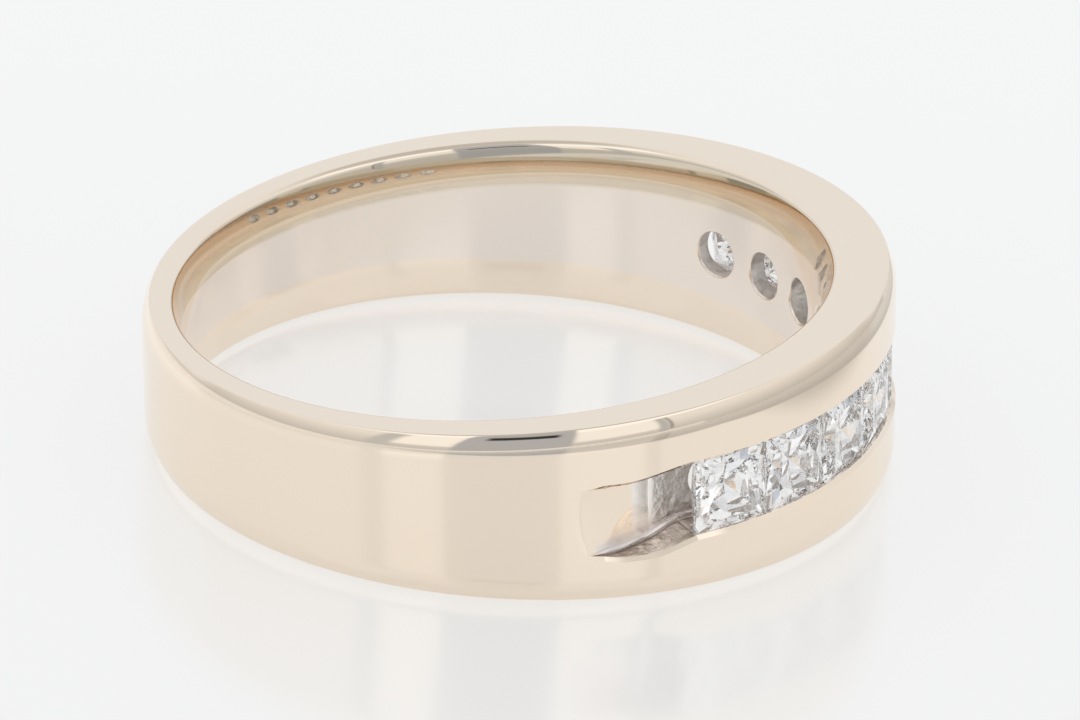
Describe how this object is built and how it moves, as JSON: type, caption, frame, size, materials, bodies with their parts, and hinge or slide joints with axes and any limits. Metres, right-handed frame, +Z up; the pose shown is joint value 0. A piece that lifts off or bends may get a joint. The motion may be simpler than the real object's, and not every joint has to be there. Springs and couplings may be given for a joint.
{
  "type": "channel set band ring",
  "caption": "Polished gold finger ring, thicker and wider at the head, with a row of square cut stones sunk in a channel and a light hole behind each.",
  "frame": {"origin": "centre of the finger hole, on its axis and midway between the two flat sides", "axes": "+Z up with the ring lying on its lower flat side, +X towards the head with the stones; the finger hole's axis leans 2.6 degrees from +Z, away from the head, because the sides taper"},
  "size_m": [0.0203, 0.0202, 0.0056],
  "materials": {
    "gold": "mirror polished, pale warm gold",
    "stone": "clear, polished facets"
  },
  "bodies": {
    "root": {"band": "gold", "stone_1": "stone", "stone_2": "stone", "stone_3": "stone", "stone_4": "stone", "stone_5": "stone", "stone_6": "stone", "stone_7": "stone", "stone_8": "stone", "stone_9": "stone"}
  },
  "joints": []
}
